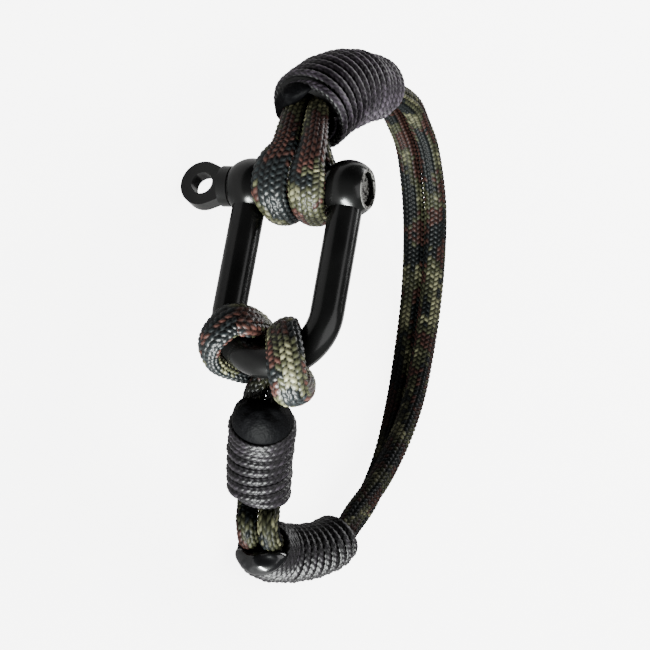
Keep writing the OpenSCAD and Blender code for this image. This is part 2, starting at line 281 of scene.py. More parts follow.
def gathered(parts):
    """The points, faces, end faces, colours and uvs of closed parts, stacked; the colours hold
    painted light and shade as well as dye. Each part's face numbers are moved on by the points before
    it. A part whose last ring meets its first is joined there, and any other part gets a many-sided
    face at each end, the first one reversed to face outwards."""
    points, quads, ends, point_colours, uvs = [], [], [], [], []
    first = 0
    for part in parts:
        grid = part["points"]
        count, sides = grid.shape[:2]
        ring = np.arange(sides) + first
        last = ring + (count - 1) * sides
        points.append(laid(grid.reshape(-1, 3)))
        quads.append(ring_faces(count, sides, first))
        if part.get("closed"):
            quads.append(np.stack([last, ring, np.roll(ring, -1), np.roll(last, -1)], -1))
        else:
            ends += [ring[::-1], last]
        crown = part.get("crown", np.ones((count, sides)))
        point_colours.append(np.concatenate([part["colour"], crown[..., None]], -1).reshape(-1, 4))
        uvs.append(part.get("uv", np.zeros((count, sides, 2))).reshape(-1, 2))
        first += count * sides
    return np.vstack(points), np.vstack(quads), ends, np.vstack(point_colours), np.vstack(uvs)


print("a sleeve of 3 rings and 4 sides has", len(ring_faces(3, 4, 0)), "faces")


# %% Mesh builder
def make_piece(name, parts, material, body="bracelet"):
    """One object that rides on a body. Each part has points of (rings, sides, 3) in drawing
    millimetres and a colour for each point, and may have a crown for each point and uv in
    millimetres. The colour attribute holds that colour, in which dye and painted light and shade
    are mixed, with the crown as its fourth number."""
    points, quads, ends, point_colours, uvs = gathered(parts)
    loops = np.concatenate([quads.ravel()] + ends)
    sizes = np.r_[np.full(len(quads), 4), [len(end) for end in ends]].astype(int)
    mesh = bpy.data.meshes.new(name)
    mesh.vertices.add(len(points))
    mesh.vertices.foreach_set("co", points.ravel())
    mesh.loops.add(len(loops))
    mesh.loops.foreach_set("vertex_index", loops.astype(np.int32))
    mesh.polygons.add(len(sizes))
    mesh.polygons.foreach_set("loop_start", np.r_[0, np.cumsum(sizes)[:-1]].astype(np.int32))
    mesh.polygons.foreach_set("loop_total", sizes.astype(np.int32))
    mesh.update(calc_edges=True)
    mesh.validate()
    mesh.polygons.foreach_set("use_smooth", np.ones(len(mesh.polygons), bool))
    # this colour attribute holds dye and painted light and shade together
    dye_and_shading = mesh.color_attributes.new("dye_and_shading", "FLOAT_COLOR", "POINT")
    dye_and_shading.data.foreach_set("color", point_colours.ravel())
    order = np.empty(len(mesh.loops), np.int32)
    mesh.loops.foreach_get("vertex_index", order)
    mesh.uv_layers.new(name="sheath").data.foreach_set("uv", uvs[order].ravel())
    piece = bpy.data.objects.new(name, mesh)
    bpy.context.collection.objects.link(piece)
    mesh.materials.append(material)
    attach(piece, body)
    print(name, len(points), "points", len(mesh.polygons), "faces")
    return piece


# %% [markdown]
# ## Nodes that every finish needs
# The finishes below are built from a few kinds of node. Noise gives clouds, grit and filaments, Map
# Range turns such a value into another range, and Bump turns it into tiny slopes. Each could be
# laid out by hand in the Shader Editor. As helpers they keep the finishes short. Numbers that are
# the same all over go on the shader's own sockets.

# %% Material helpers
def fresh_material(name, roughness, specular):
    """A named material with its tree and its shader."""
    material = bpy.data.materials.new(name)
    material.use_nodes = True
    shader = material.node_tree.nodes["Principled BSDF"]
    shader.inputs["Roughness"].default_value = roughness
    shader.inputs["Specular IOR Level"].default_value = specular
    return material, material.node_tree, shader


def ranged(tree, value, low, high, to_low=0.0, to_high=1.0):
    """Map Range: low to high becomes to_low to to_high in a straight line, held at both ends."""
    node = tree.nodes.new("ShaderNodeMapRange")
    ends = {"From Min": low, "From Max": high, "To Min": to_low, "To Max": to_high}
    for socket, number in ends.items():
        node.inputs[socket].default_value = number
    tree.links.new(value, node.inputs["Value"])
    return node.outputs["Result"]


def noise(tree, where, scale, detail=2.0):
    """Noise: a cloudy value about one half, with scale clouds to each unit of where. Each step of
    detail adds a layer of clouds half as large."""
    node = tree.nodes.new("ShaderNodeTexNoise")
    node.inputs["Scale"].default_value = scale
    node.inputs["Detail"].default_value = detail
    tree.links.new(where, node.inputs["Vector"])
    return node.outputs["Fac"]


def bumped(tree, shader, height, strength, distance):
    """Bump: the normal tilts as if the skin rose by height times distance, in metres."""
    node = tree.nodes.new("ShaderNodeBump")
    node.inputs["Strength"].default_value = strength
    node.inputs["Distance"].default_value = distance
    tree.links.new(height, node.inputs["Height"])
    tree.links.new(node.outputs["Normal"], shader.inputs["Normal"])


# %% [markdown]
# ## Cord cloth
# Nylon yarns are dark but silky, so each grain carries its own small highlight where the lamp is
# mirrored. The grooves get painted shade, darker because little light gets into them, and a fine
# bump adds the filaments of each yarn. The far strands get a duller copy of the cloth and painted
# shade in their colour, because the photograph has them out of the light.

# %% Cord material
GROOVE_UNDER, GRAIN_OVER = 0.3, 0.92
FILAMENT_STRETCH, FILAMENT_RISE = 0.2, 0.00006


def thread_cloth(name, roughness, specular, groove, filaments, bump):
    """Cloth of plaited yarns. The colour is multiplied by a painted shade that goes from groove,
    where the crown is low, to 1 on the grains. Noise on the uv, stretched along the yarn, bumps the
    filaments."""
    material, tree, shader = fresh_material(name, roughness, specular)
    dye_and_shading = tree.nodes.new("ShaderNodeAttribute")
    dye_and_shading.attribute_name = "dye_and_shading"
    shade = tree.nodes.new("ShaderNodeMix")
    shade.data_type, shade.blend_type = "RGBA", "MULTIPLY"
    shade.inputs["Factor"].default_value = 1
    tree.links.new(dye_and_shading.outputs["Color"], shade.inputs["A"])
    # painted shade: the colour darkens to groove in the grooves, where little light gets in
    light = ranged(tree, dye_and_shading.outputs["Alpha"], GROOVE_UNDER, GRAIN_OVER, groove, 1.0)
    tree.links.new(light, shade.inputs["B"])
    tree.links.new(shade.outputs["Result"], shader.inputs["Base Color"])
    uv = tree.nodes.new("ShaderNodeUVMap")
    uv.uv_map = "sheath"
    stretch = tree.nodes.new("ShaderNodeMapping")
    stretch.inputs["Scale"].default_value = (filaments, filaments * FILAMENT_STRETCH, 1)
    tree.links.new(uv.outputs["UV"], stretch.inputs["Vector"])
    bumped(tree, shader, noise(tree, stretch.outputs["Vector"], 1.0), bump, FILAMENT_RISE)
    return material


cord_cloth = thread_cloth("camouflage_cord", 0.4, 0.18, 0.01, 14.0, 0.25)
# painted shade: a duller copy of the cord cloth for the far strands, which stand out of the light
shaded_far_cloth = thread_cloth("camouflage_cord_far_shaded", 0.5, 0.05, 0.01, 14.0, 0.25)
twine_cloth = thread_cloth("black_twine", 0.42, 0.14, 0.02, 20.0, 0.3)
print("cloth", cord_cloth.name, shaded_far_cloth.name, twine_cloth.name)

# %% [markdown]
# ## Routes of the cord
# These tables repeat the CAD source. Each row of a cord has its place, its width, its thickness and
# a twist in degrees. Where a whipping squeezes the strands they are thinner, and over the pin and
# the bow they are pressed flat and wide. Beyond the wrist the pair twists, so that one strand comes
# in front of the other.

# %% Route tables
CORD_D, STRAND_GAP = 4.0, 0.1
PLACE, WIDTH, THICKNESS, TWIST = slice(0, 3), slice(3, 4), slice(4, 5), 5
pin_loop_rows = np.array([
    [-20.2, 6.4, 2.4, 3.3, 3.2, 0], [-17.6, 2.3, 1.3, 3.3, 3.2, 0], [-14.7, -0.8, 0.5, 3.4, 3.2, 0],
    [-11.6, -2.8, 0.1, 3.6, 3.2, 0], [-8.3, -4.1, 0.5, 4, 3.1, 0], [-4.6, -5, 0.8, 4.5, 3, 0],
    [-1, -5.1, 0.2, 5.7, 2.9, 0], [2.3, -4.1, 0, 5.8, 2.9, 0], [4, -1.7, 0, 5.2, 2.9, 0],
    [4, 1.7, 0, 5, 2.9, 0], [1.6, 4.1, 0, 5, 2.9, 0], [-1.4, 4.2, 0, 4.8, 2.9, 0],
    [-4.2, 2.6, 0.2, 4, 3, 0], [-6.4, 0.2, 0.4, 3.2, 3, 0], [-9.3, -1.1, 0.2, 2.9, 2.9, 0],
    [-12.4, 1.6, 0.8, 3, 3, 0], [-15.1, 4.3, 1.5, 3, 3, 0], [-17.3, 7.8, 2.4, 3, 3, 0]])
band_rows = np.array([
    [-20, 8.2, 2.6, 0.83, 0.8, 0], [-22.5, 13.7, 3.2, 0.84, 0.84, 0], [-24, 22, 3.8, 0.93, 0.93, 0],
    [-23.4, 28.8, 3.5, 0.91, 0.91, 0], [-21.2, 34.6, 3.5, 0.92, 0.92, 0],
    [-15.1, 41.5, 3.3, 0.95, 0.95, 0], [-7.9, 46, 3, 0.95, 0.95, 7],
    [0.1, 48.9, 2.7, 0.95, 0.95, 14], [8.6, 50.3, 2.4, 0.95, 0.95, 19],
    [17.5, 50.3, 2.2, 0.95, 0.95, 27], [26.4, 48.3, 1.9, 0.95, 0.95, 44],
    [34.3, 44.7, 1.3, 0.95, 0.95, 57], [40, 41, 0.3, 0.9, 0.9, 64],
    [43.7, 38.4, -0.3, 0.86, 0.86, 62], [46.5, 35.2, -2, 0.86, 0.86, 50],
    [48.3, 31.3, -4.2, 0.86, 0.86, 25], [48.9, 27.1, -6.1, 0.86, 0.86, 0],
    [48.8, 22.9, -6.3, 0.86, 0.86, 0], [48.8, 20.4, -5.9, 0.86, 0.86, 0],
    [47, 18.7, -5.8, 0.86, 0.86, 0], [43.9, 18.9, -6.3, 0.86, 0.86, 0],
    [40.7, 16, -5.6, 0.86, 0.86, 0], [39, 14.3, -5.2, 0.86, 0.86, 0]])
band_rows[:, WIDTH] *= CORD_D
band_rows[:, THICKNESS] *= CORD_D
hitch_rows = np.array([
    [38.4, 13.6, -3.1, 3.4, 3.4, 0], [35.4, 11.1, -2.1, 3.4, 3.4, 0],
    [33.3, 8.4, -1.3, 3.4, 3.4, 0], [31, 6.2, -0.6, 3.4, 3.4, 0], [28.6, 4.8, 0.8, 3.4, 3.2, 0],
    [26, 4.3, 1.9, 3.5, 3.2, 0], [23.4, 2.7, 2, 3.8, 3.2, 12], [22.3, 0, 2, 4.2, 3.2, 22],
    [22.6, -1.9, 2.4, 4.7, 3.1, 24], [23.8, -3.8, 3.1, 5.3, 3, 24], [26.6, -4.7, 4.3, 5.7, 3, 18],
    [30, -3.8, 5, 5.8, 3, 9], [32.3, -1, 5.1, 5.2, 3, 3], [30.6, 3.6, 4.4, 4, 3.2, 0],
    [28.1, 6.6, 3.3, 3.2, 3.2, 0], [26.2, 7.7, 1.4, 3.1, 3.1, 0], [26.1, 7.8, -1.3, 3.1, 3.1, 0],
    [27.3, 6.8, -5, 3.1, 3.1, 0], [27.7, 3.6, -7.5, 3.2, 3.1, 0], [27.6, 0.6, -8.9, 3.9, 3.1, 8],
    [26.7, -1.8, -9.1, 4.3, 3, 16], [25.6, -3.7, -8.2, 4.4, 3, 20], [24.2, -4.3, -6.7, 4.7, 3, 24],
    [22.5, -4, -5.1, 5, 3, 27], [21.7, -2.7, -3.7, 5, 3, 26], [21.4, 0.2, -2.8, 4.4, 3.1, 18],
    [22.6, 2.2, -2.1, 3.3, 3.2, 0], [25, 4, -1.9, 3.3, 3.2, 0], [28.2, 4.7, -2.7, 3.4, 3.2, 0],
    [30.6, 5.5, -3.9, 3.4, 3.4, 0], [33.1, 7.4, -4.6, 3.3, 3.3, 0], [34.8, 10.4, -5.5, 3.4, 3.4, 0],
    [37.9, 13.1, -6.5, 3.4, 3.4, 0]])
for name, rows in (("pin loop", pin_loop_rows), ("band strand", band_rows), ("hitch", hitch_rows)):
    print("the", name, "is", round(paced(rows, 1.0)[1][-1]), "mm long")

# %% [markdown]
# ## The cord's surface
# A strand is an ellipse carried along its route, and the plait sinks it between the grains by up to
# 0.36 mm. So the outside of the sheath stays on the CAD outline. A bevelled curve with a Displace
# modifier looks much the same, but with a grid of points each grain keeps its own dye.

# %% Cord surface
GRAIN_COLUMNS, GRAIN_PITCH, GRAIN_RELIEF, GRAIN_SLANT = 14, 0.86, 0.36, 0.45
PER_COLUMN, PER_PITCH = 6, 5
FADE_LENGTH, SHADED_END_SHARE = 4, 0.1


def cord_part(rows, seed, side=0, painted_shade_ends=0, shade=1.0):
    """A strand: place plus half width times cosine along the width axis plus half thickness times
    sine across it, both less the groove depth. A small sine of twice the angle evens out the
    columns round a flat strand. Over the given millimetres at each end the colour fades to black:
    painted shade where the cord goes into a whipping's mouth, over some darker yarn. And shade is
    painted shade that darkens the strand as a whole."""
    route, run = paced(rows, GRAIN_PITCH / PER_PITCH)
    heads = unit(np.gradient(route[:, PLACE], axis=0))
    axes = twisted(upright(heads) if side else carried(heads), heads, route[:, TWIST])
    centre = route[:, PLACE] + axes * side * (route[:, WIDTH] + STRAND_GAP) / 2
    across = np.cross(heads, axes)
    turn = (np.arange(GRAIN_COLUMNS * PER_COLUMN) + 0.5)[None] / (GRAIN_COLUMNS * PER_COLUMN)
    crown, column, number = plait(turn, run[:, None], GRAIN_COLUMNS, GRAIN_PITCH, GRAIN_SLANT)
    half_w, half_t = route[:, WIDTH] / 2, route[:, THICKNESS] / 2
    flat = (half_w ** 2 - half_t ** 2) / (2 * (half_w ** 2 + half_t ** 2))
    angle = 2 * math.pi * turn + flat / 2 * np.sin(4 * math.pi * turn)
    sink = GRAIN_RELIEF * (1 - crown)
    points = (centre[:, None] + axes[:, None] * ((half_w - sink) * np.cos(angle))[..., None]
              + across[:, None] * ((half_t - sink) * np.sin(angle))[..., None])
    colour = shade * camouflage(column, number, GRAIN_PITCH, GRAIN_COLUMNS, seed)
    # painted shade: the colour fades to black towards the ends, where the cord goes into the whipping
    if painted_shade_ends:
        from_end = np.minimum(run, run[-1] - run)[:, None, None]
        bright = np.clip((from_end - painted_shade_ends) / FADE_LENGTH, 0, 1)
        colour = colour * (SHADED_END_SHARE + (1 - SHADED_END_SHARE) * bright)
    uv = np.stack(np.broadcast_arrays(turn * math.pi * CORD_D, run[:, None]), -1)
    return {"points": points, "colour": colour, "crown": crown, "uv": uv}


print("a pin loop has", cord_part(pin_loop_rows, 0)["points"].shape[0], "rings")

# %% [markdown]
# ## Loops, band and hitch
# Two loops pass over the pin, two strands go round the wrist, and one cord makes the cow hitch on
# the bow. Real cord swells where nothing presses on it. So the hitch's near lobe is made half a
# millimetre fuller than the CAD's, and closes onto the bow as in the photograph. It could be done
# by sculpting, but a few rows of the table say the same. Side is the half of the pair that a strand
# takes, and the seeds were picked so that the dyes on the loops follow each other as they do in the
# photograph.

# %% Strands
X, Z = 0, 2
fuller_hitch = hitch_rows.copy()
fuller_hitch[20:27, WIDTH] += 0.5
fuller_hitch[24:27, THICKNESS] += 0.7
fuller_hitch[24:27, X] += 0.35
fuller_hitch[19:22, Z] += 0.25
# painted shade: the far band strands are darkened as a whole, being out of the light
BAND_PAINTED_SHADE, HITCH_SHADED_ENDS = 0.33, 12
strands = (
    ("pin_loop_upper", cord_part(pin_loop_rows, 778, 1), cord_cloth),
    ("pin_loop_lower", cord_part(pin_loop_rows, 294, -1), cord_cloth),
    ("band_strand_upper", cord_part(band_rows, 55, 1, 0, BAND_PAINTED_SHADE), shaded_far_cloth),
    ("band_strand_lower", cord_part(band_rows, 89, -1, 0, BAND_PAINTED_SHADE), shaded_far_cloth),
    # the hitch's ends get painted shade where they go into the side whipping
    ("hitch_cord", cord_part(fuller_hitch, 13, 0, HITCH_SHADED_ENDS), cord_cloth))
for name, part, cloth in strands:
    strand = make_piece("braided_" + name, [part], cloth)
    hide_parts(name)

# %% [markdown]
# ## Whippings
# Thin braided twine is wound tightly round the strands. A torus array would give rings instead of a
# winding. So it is made as what it is: one long cord on a helix, laid turn against turn. At each
# end it makes one more turn further in, so the mouth of the whipping is filled by twine too. Each
# row of these tables has a place on the whipping's middle line and the diameter over the twine.

# %% Whipping tables
OVER_TWINE = 3
whippings = {
    "whipping_top": (13, np.array([
        [-10.8, -2.3, -0.1, 13.16], [-13.8, -0.1, 0.6, 13.16], [-16.8, 2.9, 1.4, 12.88],
        [-19.4, 6.7, 2.4, 12.18], [-21.3, 10.4, 2.9, 10.78], [-22.8, 14.4, 3.3, 10.36]])),
    "whipping_bottom": (12, np.array([
        [49.6, 22.9, -6.3, 9.56], [49.4, 27.1, -6.1, 9.56], [48.4, 31.3, -4.2, 9.2],
        [46.5, 35.2, -2, 8.83], [43.7, 38.4, -0.3, 8.65]])),
    "whipping_side": (8, np.array([
        [33.8, 7.5, -2.8, 10.26], [35.5, 10.6, -3.9, 10.26], [37.9, 13.2, -4.9, 10.16],
        [40.7, 16, -5.6, 10.02], [43, 18.1, -6.2, 9.92]]))}
for name, (turns, rows) in whippings.items():
    print(name, "is", round(paced(rows, 1.0)[1][-1], 1), "mm long with", turns, "turns")

# %% [markdown]
# ## The winding's path
# The middle line of the twine is a helix round a bent axis. It could be a Screw modifier on a
# straight one, but these whippings bend and taper. So each point finds its station on the table's
# route by its turn, and steps outwards from there.

# %% Wound path
TWINE_RISE, TWINE_INNER = 1.5, 1.3
TWINE_PITCH, PER_TWINE_PITCH = 0.85, 5
AXIS_STEP, STEP_IN_TURN = 0.25, 0.35
UNEVEN, UNEVEN_BEAT = 0.06, 0.37


def wound_path(rows, turns, seed):
    """The twine's middle line, the outward direction at each point, its run and the width of a turn.
    The line goes round the axis once for each turn, at the outer radius less half the twine's rise.
    The first and the last turn lie at the ends but TWINE_INNER further in, and a smooth step leads
    there. A slow sine of the turn's angle makes the winding a little uneven."""
    axis_route, run = paced(rows, AXIS_STEP)
    length = (turns + 2) * math.pi * (rows[:, OVER_TWINE].mean() - TWINE_RISE)
    wound = np.linspace(-1, turns + 1, round(length / (TWINE_PITCH / PER_TWINE_PITCH)))
    width = run[-1] / turns
    station = width / 2 + np.clip(wound, 0, turns) / turns * (run[-1] - width)
    row = np.stack([np.interp(station, run, values) for values in axis_route.T], 1)
    slopes = np.gradient(axis_route[:, PLACE], axis=0)
    heads = unit(np.stack([np.interp(station, run, slope) for slope in slopes.T], 1))
    up = upright(heads)
    out = np.cross(heads, up)
    swing = 2 * math.pi * wound
    radial = up * np.cos(swing)[:, None] + out * np.sin(swing)[:, None]
    inside = np.clip(np.maximum(-wound, wound - turns) / STEP_IN_TURN, 0, 1)
    drop = TWINE_INNER * inside ** 2 * (3 - 2 * inside)
    wave = UNEVEN * np.sin(swing * UNEVEN_BEAT + seed)
    reach = row[:, OVER_TWINE] / 2 - TWINE_RISE / 2 - drop + wave
    line = row[:, PLACE] + radial * reach[:, None]
    return line, radial, np.linspace(0, length, len(wound)), width


top_turns, top_rows = whippings["whipping_top"]
print("the top whipping takes", round(wound_path(top_rows, top_turns, 0)[2][-1]), "mm of twine")

# %% [markdown]
# ## The twine's surface
# The twine is the sheath again, in small: an ellipse with a plait. In the photograph it is almost
# black, bright only on top of each turn, so painted shade darkens its colour towards the gaps.
# Ambient occlusion would do that in the material, but it costs render time and the painted shade
# does it for nothing.

# %% Whipping surface
TWINE_COLUMNS, TWINE_SIDES, TWINE_RELIEF, TWINE_SLANT = 6, 30, 0.24, 0.6
HALF_SHARE, CONTRAST, CUT, IN_GAP = 0.48, 2, 0.7, 0.04
DARK_GREY, MORE_GREY, TWINE_TINT = 0.0035, 0.01, np.array([1.0, 0.8, 1.06])
# painted light and shade for each whipping's twine: the top one brightened, the bottom and side ones
# darkened
TWINE_PAINTED_LIGHT = {"whipping_top": 4.4, "whipping_bottom": 0.55, "whipping_side": 0.8}


def twine_part(rows, turns, seed, shade):
    """The twine: middle line plus half width times cosine along the whipping plus half rise times
    sine outwards, both less the groove depth. The half width is almost half of one turn's share of
    the length. The colour is a dark grey for each grain, times shade, which is painted light on the
    top whipping and painted shade on the others, times painted gap shade: a share that rises with
    the sine of the angle from the twine's side to its top, and is held between IN_GAP and 1."""
    centre, radial, path, width = wound_path(rows, turns, seed)
    forward = unit(np.gradient(centre, axis=0))
    wide = unit(np.cross(forward, radial))
    high = np.cross(wide, forward)
    turn = (np.arange(TWINE_SIDES) + 0.5)[None] / TWINE_SIDES
    crown, column, number = plait(turn, path[:, None], TWINE_COLUMNS, TWINE_PITCH, TWINE_SLANT)
    sink = TWINE_RELIEF * (1 - crown)
    angle = 2 * math.pi * turn
    half_w, half_t = HALF_SHARE * width, TWINE_RISE / 2
    points = (centre[:, None] + wide[:, None] * ((half_w - sink) * np.cos(angle))[..., None]
              + high[:, None] * ((half_t - sink) * np.sin(angle))[..., None])
    grey = DARK_GREY + MORE_GREY * scatter(column, number, seed) ** 2
    # painted shade: the colour darkens towards the gaps between turns
    painted_gap_shade = np.clip(CONTRAST * np.sin(angle) - CUT, IN_GAP, 1)
    colour = (shade * grey * painted_gap_shade)[..., None] * TWINE_TINT
    uv = np.stack(np.broadcast_arrays(turn * math.pi * width, path[:, None]), -1)
    return {"points": points, "colour": colour, "crown": crown, "uv": uv}


print("the top twine has", twine_part(top_rows, top_turns, 0, 1)["points"].shape[0], "rings")

# %% [markdown]
# ## The sleeve, and both together
# Between two turns one would look into the hollow whipping. On the real one the strands and more
# twine lie there. A solid core would hide the gaps too, but it would fill the mouths, so a dark
# sleeve hugs the strands instead. Sleeve and twine make one piece for each whipping.

# %% Sleeve and winding
SLEEVE_STEP, SLEEVE_SHORT, SLEEVE_SIDES = 0.5, 2, 48
SLEEVE_DEPTH, CORES_R, SLEEVE_BLACK = 0.8, 3.3, 0.006


def sleeve_part(rows):
    """The dark sleeve under the twine: circles about the middle line, out along the outer side and
    back along the inner one. It stops a millimetre short of both ends."""
    route = paced(rows, SLEEVE_STEP)[0][SLEEVE_SHORT:-SLEEVE_SHORT]
    heads = unit(np.gradient(route[:, PLACE], axis=0))
    up = upright(heads)
    out = np.cross(heads, up)
    angle = (2 * math.pi * np.arange(SLEEVE_SIDES) / SLEEVE_SIDES)[None, :, None]
    ring = up[:, None] * np.cos(angle) + out[:, None] * np.sin(angle)
    outer_r = route[:, OVER_TWINE] / 2 - SLEEVE_DEPTH
    outer = route[:, None, PLACE] + ring * outer_r[:, None, None]
    inner = route[:, None, PLACE] + ring * CORES_R
    return {"points": np.concatenate([outer, inner[::-1]]), "closed": True,
            "colour": np.full((2 * len(route), SLEEVE_SIDES, 3), SLEEVE_BLACK)}


for name, (turns, rows) in whippings.items():
    twine = twine_part(rows, turns, len(name), TWINE_PAINTED_LIGHT[name])
    winding = make_piece("wound_" + name, [twine, sleeve_part(rows)], twine_cloth)
    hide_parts(name)

# %% [markdown]
# ## Melted ends
# The cut ends of the twine and the cord make a dark lump that fills one side of each whipping's
# mouth. A squashed sphere cut by a Boolean would be near it. But the distance to the lump's outline
# is known in every direction from its middle, so the surface swells up from that outline.

# %% End caps
CAP_SIDES, DOME_RINGS, INNERMOST = 64, 22, 0.02
DOME_POWER, DOME_ROOT, CORNER_POWER = 2.4, 0.55, 8
SKIRT = np.array([[1.0, -0.4], [0.9, -0.8], [0.4, -0.9], [INNERMOST, -0.9]])
LUMPY, LUMPS_PER_MM, CAP_BLACK = 0.3, 0.9, 0.006


def cap_part(rows, hint, start, radius, rise):
    """A lump on the near end of a whipping, on the side that hint points to. Its reach is the
    distance to a circle or to a straight cut, whichever comes first, with a rounded corner: a
    power mean of the two. Its height is rise times a root of one minus a power of the share of the
    reach, plus drift. A skirt of rings closes it underneath."""
    route, _ = paced(rows, AXIS_STEP)
    at = route[0, PLACE]
    head = unit((route[0, PLACE] - route[2, PLACE])[None])[0]
    out = unit((hint - head * (hint @ head))[None])[0]
    side = np.cross(head, out)
    middle = (start + radius) / 2
    theta = 2 * math.pi * np.arange(CAP_SIDES) / CAP_SIDES
    to_circle = -middle * np.cos(theta) + np.sqrt(radius ** 2 - (middle * np.sin(theta)) ** 2)
    towards_cut = -np.cos(theta)
    to_cut = np.where(towards_cut > 1e-3, (middle - start) / np.maximum(towards_cut, 1e-3), 1e3)
    reach = (to_circle ** -CORNER_POWER + to_cut ** -CORNER_POWER) ** (-1 / CORNER_POWER)
    share = np.r_[INNERMOST, np.sin(np.linspace(0.05, math.pi / 2, DOME_RINGS))]
    dome = rise * np.clip(1 - share ** DOME_POWER, 0, 1) ** DOME_ROOT
    share, height = np.r_[share, SKIRT[:, 0]], np.r_[dome, SKIRT[:, 1]][:, None]
    x = middle + share[:, None] * reach * np.cos(theta)
    y = share[:, None] * reach * np.sin(theta)
    z = height + LUMPY * drift(x * LUMPS_PER_MM, y * LUMPS_PER_MM, 3) * (height > 0)
    points = at + x[..., None] * out + y[..., None] * side + z[..., None] * head
    return {"points": points[::-1], "colour": np.full(x.shape + (3,), CAP_BLACK)}


lump_test = cap_part(top_rows, np.array([1.0, 0, 0]), 0.0, 4.0, 2.0)["points"]
print("a cap has", lump_test.shape[0], "rings of", lump_test.shape[1], "points")

# %% [markdown]
# ## The skin of the lumps
# Where nylon has melted it is smooth and glossy, and where it has frayed it is dull and rough. Both
# are one dark tone, and the grit is bumped from a noise that fills space, so it needs no
# unwrapping.

# %% Lump material
LUMP_BLACK, GRIT_RISE = (0.001, 0.001, 0.0012, 1), 0.0002


def lump_skin(name, roughness, specular, grain, bump):
    """One dark base. Noise in space, with grain clouds to a metre, bumps the grit."""
    material, tree, shader = fresh_material(name, roughness, specular)
    shader.inputs["Base Color"].default_value = LUMP_BLACK
    where = tree.nodes.new("ShaderNodeTexCoord").outputs["Object"]
    bumped(tree, shader, noise(tree, where, grain), bump, GRIT_RISE)
    return material


melted = lump_skin("melted_nylon", 0.2, 0.4, 700, 0.2)
frayed = lump_skin("frayed_nylon", 0.6, 0.02, 1500, 0.9)
TOP_TURN = math.radians(40)
TOP_HINT = np.array([-0.6 * math.cos(TOP_TURN), -0.8 * math.cos(TOP_TURN), -math.sin(TOP_TURN)])
caps = {
    "end_cap_top": ("whipping_top", TOP_HINT, 2.2, 5.3, 1.6, frayed),
    "end_cap_bottom": ("whipping_bottom", np.array([1.0, 0, 0]), 0.6, 4.5, 2.2, melted),
    "end_cap_side": ("whipping_side", np.array([0.7, -0.3, 0.1]), -2.0, 4.6, 4.2, frayed)}
for name, (owner, hint, start, radius, rise, skin) in caps.items():
    part = cap_part(whippings[owner][1], hint, start, radius, rise)
    lump = make_piece("melted_" + name, [part], skin)
    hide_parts(name)

# %% [markdown]
# ## Worn steel
# The pin's end sits in its hole in the far ear, where its black finish is scratched down to bright
# steel. The place could be painted on a mask image. Here it is found from how far along the pin
# each point lies and how far from its middle line, with a patchy noise for the scratches.

# %% Worn mask
WORN_EDGE, WORN_RIM = 0.15, 0.25
SCRATCHES, SCRATCH_DETAIL, PATCHY_FROM, PATCHY_TO = 1300, 4, 0.42, 0.56


def vector_math(tree, operation, vector, other=None):
    """Vector Math: the operation on vector and other. A dot product and a length are one value, and
    anything else is a vector again."""
    node = tree.nodes.new("ShaderNodeVectorMath")
    node.operation = operation
    if other is not None:
        node.inputs[1].default_value = other
    tree.links.new(vector, node.inputs[0])
    return node.outputs["Value" if operation in ("DOT_PRODUCT", "LENGTH") else "Vector"]


def worn_mask(tree, where, worn_from, worn_r):
    """1 where steel is bare: past worn_from along the pin, within worn_r of its middle line and on a
    patch of noise. The first is the dot product with the pin's direction, the second the length of
    the cross product with it, and the three shares are multiplied."""
    from_pin = vector_math(tree, "SUBTRACT", where, laid([0, 0, 0]).tolist())
    pin_way = (LEAN @ PIN_WAY).tolist()
    past = vector_math(tree, "DOT_PRODUCT", from_pin, pin_way)
    aside = vector_math(tree, "LENGTH", vector_math(tree, "CROSS_PRODUCT", from_pin, pin_way))
    scratch = noise(tree, where, SCRATCHES, SCRATCH_DETAIL)
    worn = ranged(tree, past, worn_from * MM, (worn_from + WORN_EDGE) * MM)
    for share in (ranged(tree, aside, worn_r * MM, (worn_r - WORN_RIM) * MM),
                  ranged(tree, scratch, PATCHY_FROM, PATCHY_TO)):
        times = tree.nodes.new("ShaderNodeMath")
        times.operation = "MULTIPLY"
        tree.links.new(worn, times.inputs[0])
        tree.links.new(share, times.inputs[1])
        worn = times.outputs["Value"]
    return worn


print("the pin's middle is at", [round(float(v), 4) for v in laid([0, 0, 0])], "m")

# %% [markdown]
# ## Black steel
# The shackle and its pin are steel with a thin black finish: dark and half glossy, with a faint
# cloudy tone. The CAD shapes are right, so they only get a material. An image texture would need
# unwrapped faces, and noise in space does not.

# %% Steel materials
STEEL_SPECULAR, COAT, COAT_ROUGHNESS = 0.16, 0.05, 0.3
CLOUDS, CLOUD_DETAIL, CLOUD_LOW, CLOUD_HIGH = 260, 5, 0.3, 0.75
DARKER, LIGHTER, BARE_STEEL = 0.7, 1.5, (0.42, 0.41, 0.39, 1)
SMOOTHER, ROUGHER = 0.06, 0.1
STEEL_GRAIN, STEEL_BUMP, STEEL_RISE = 2500, 0.08, 0.00005


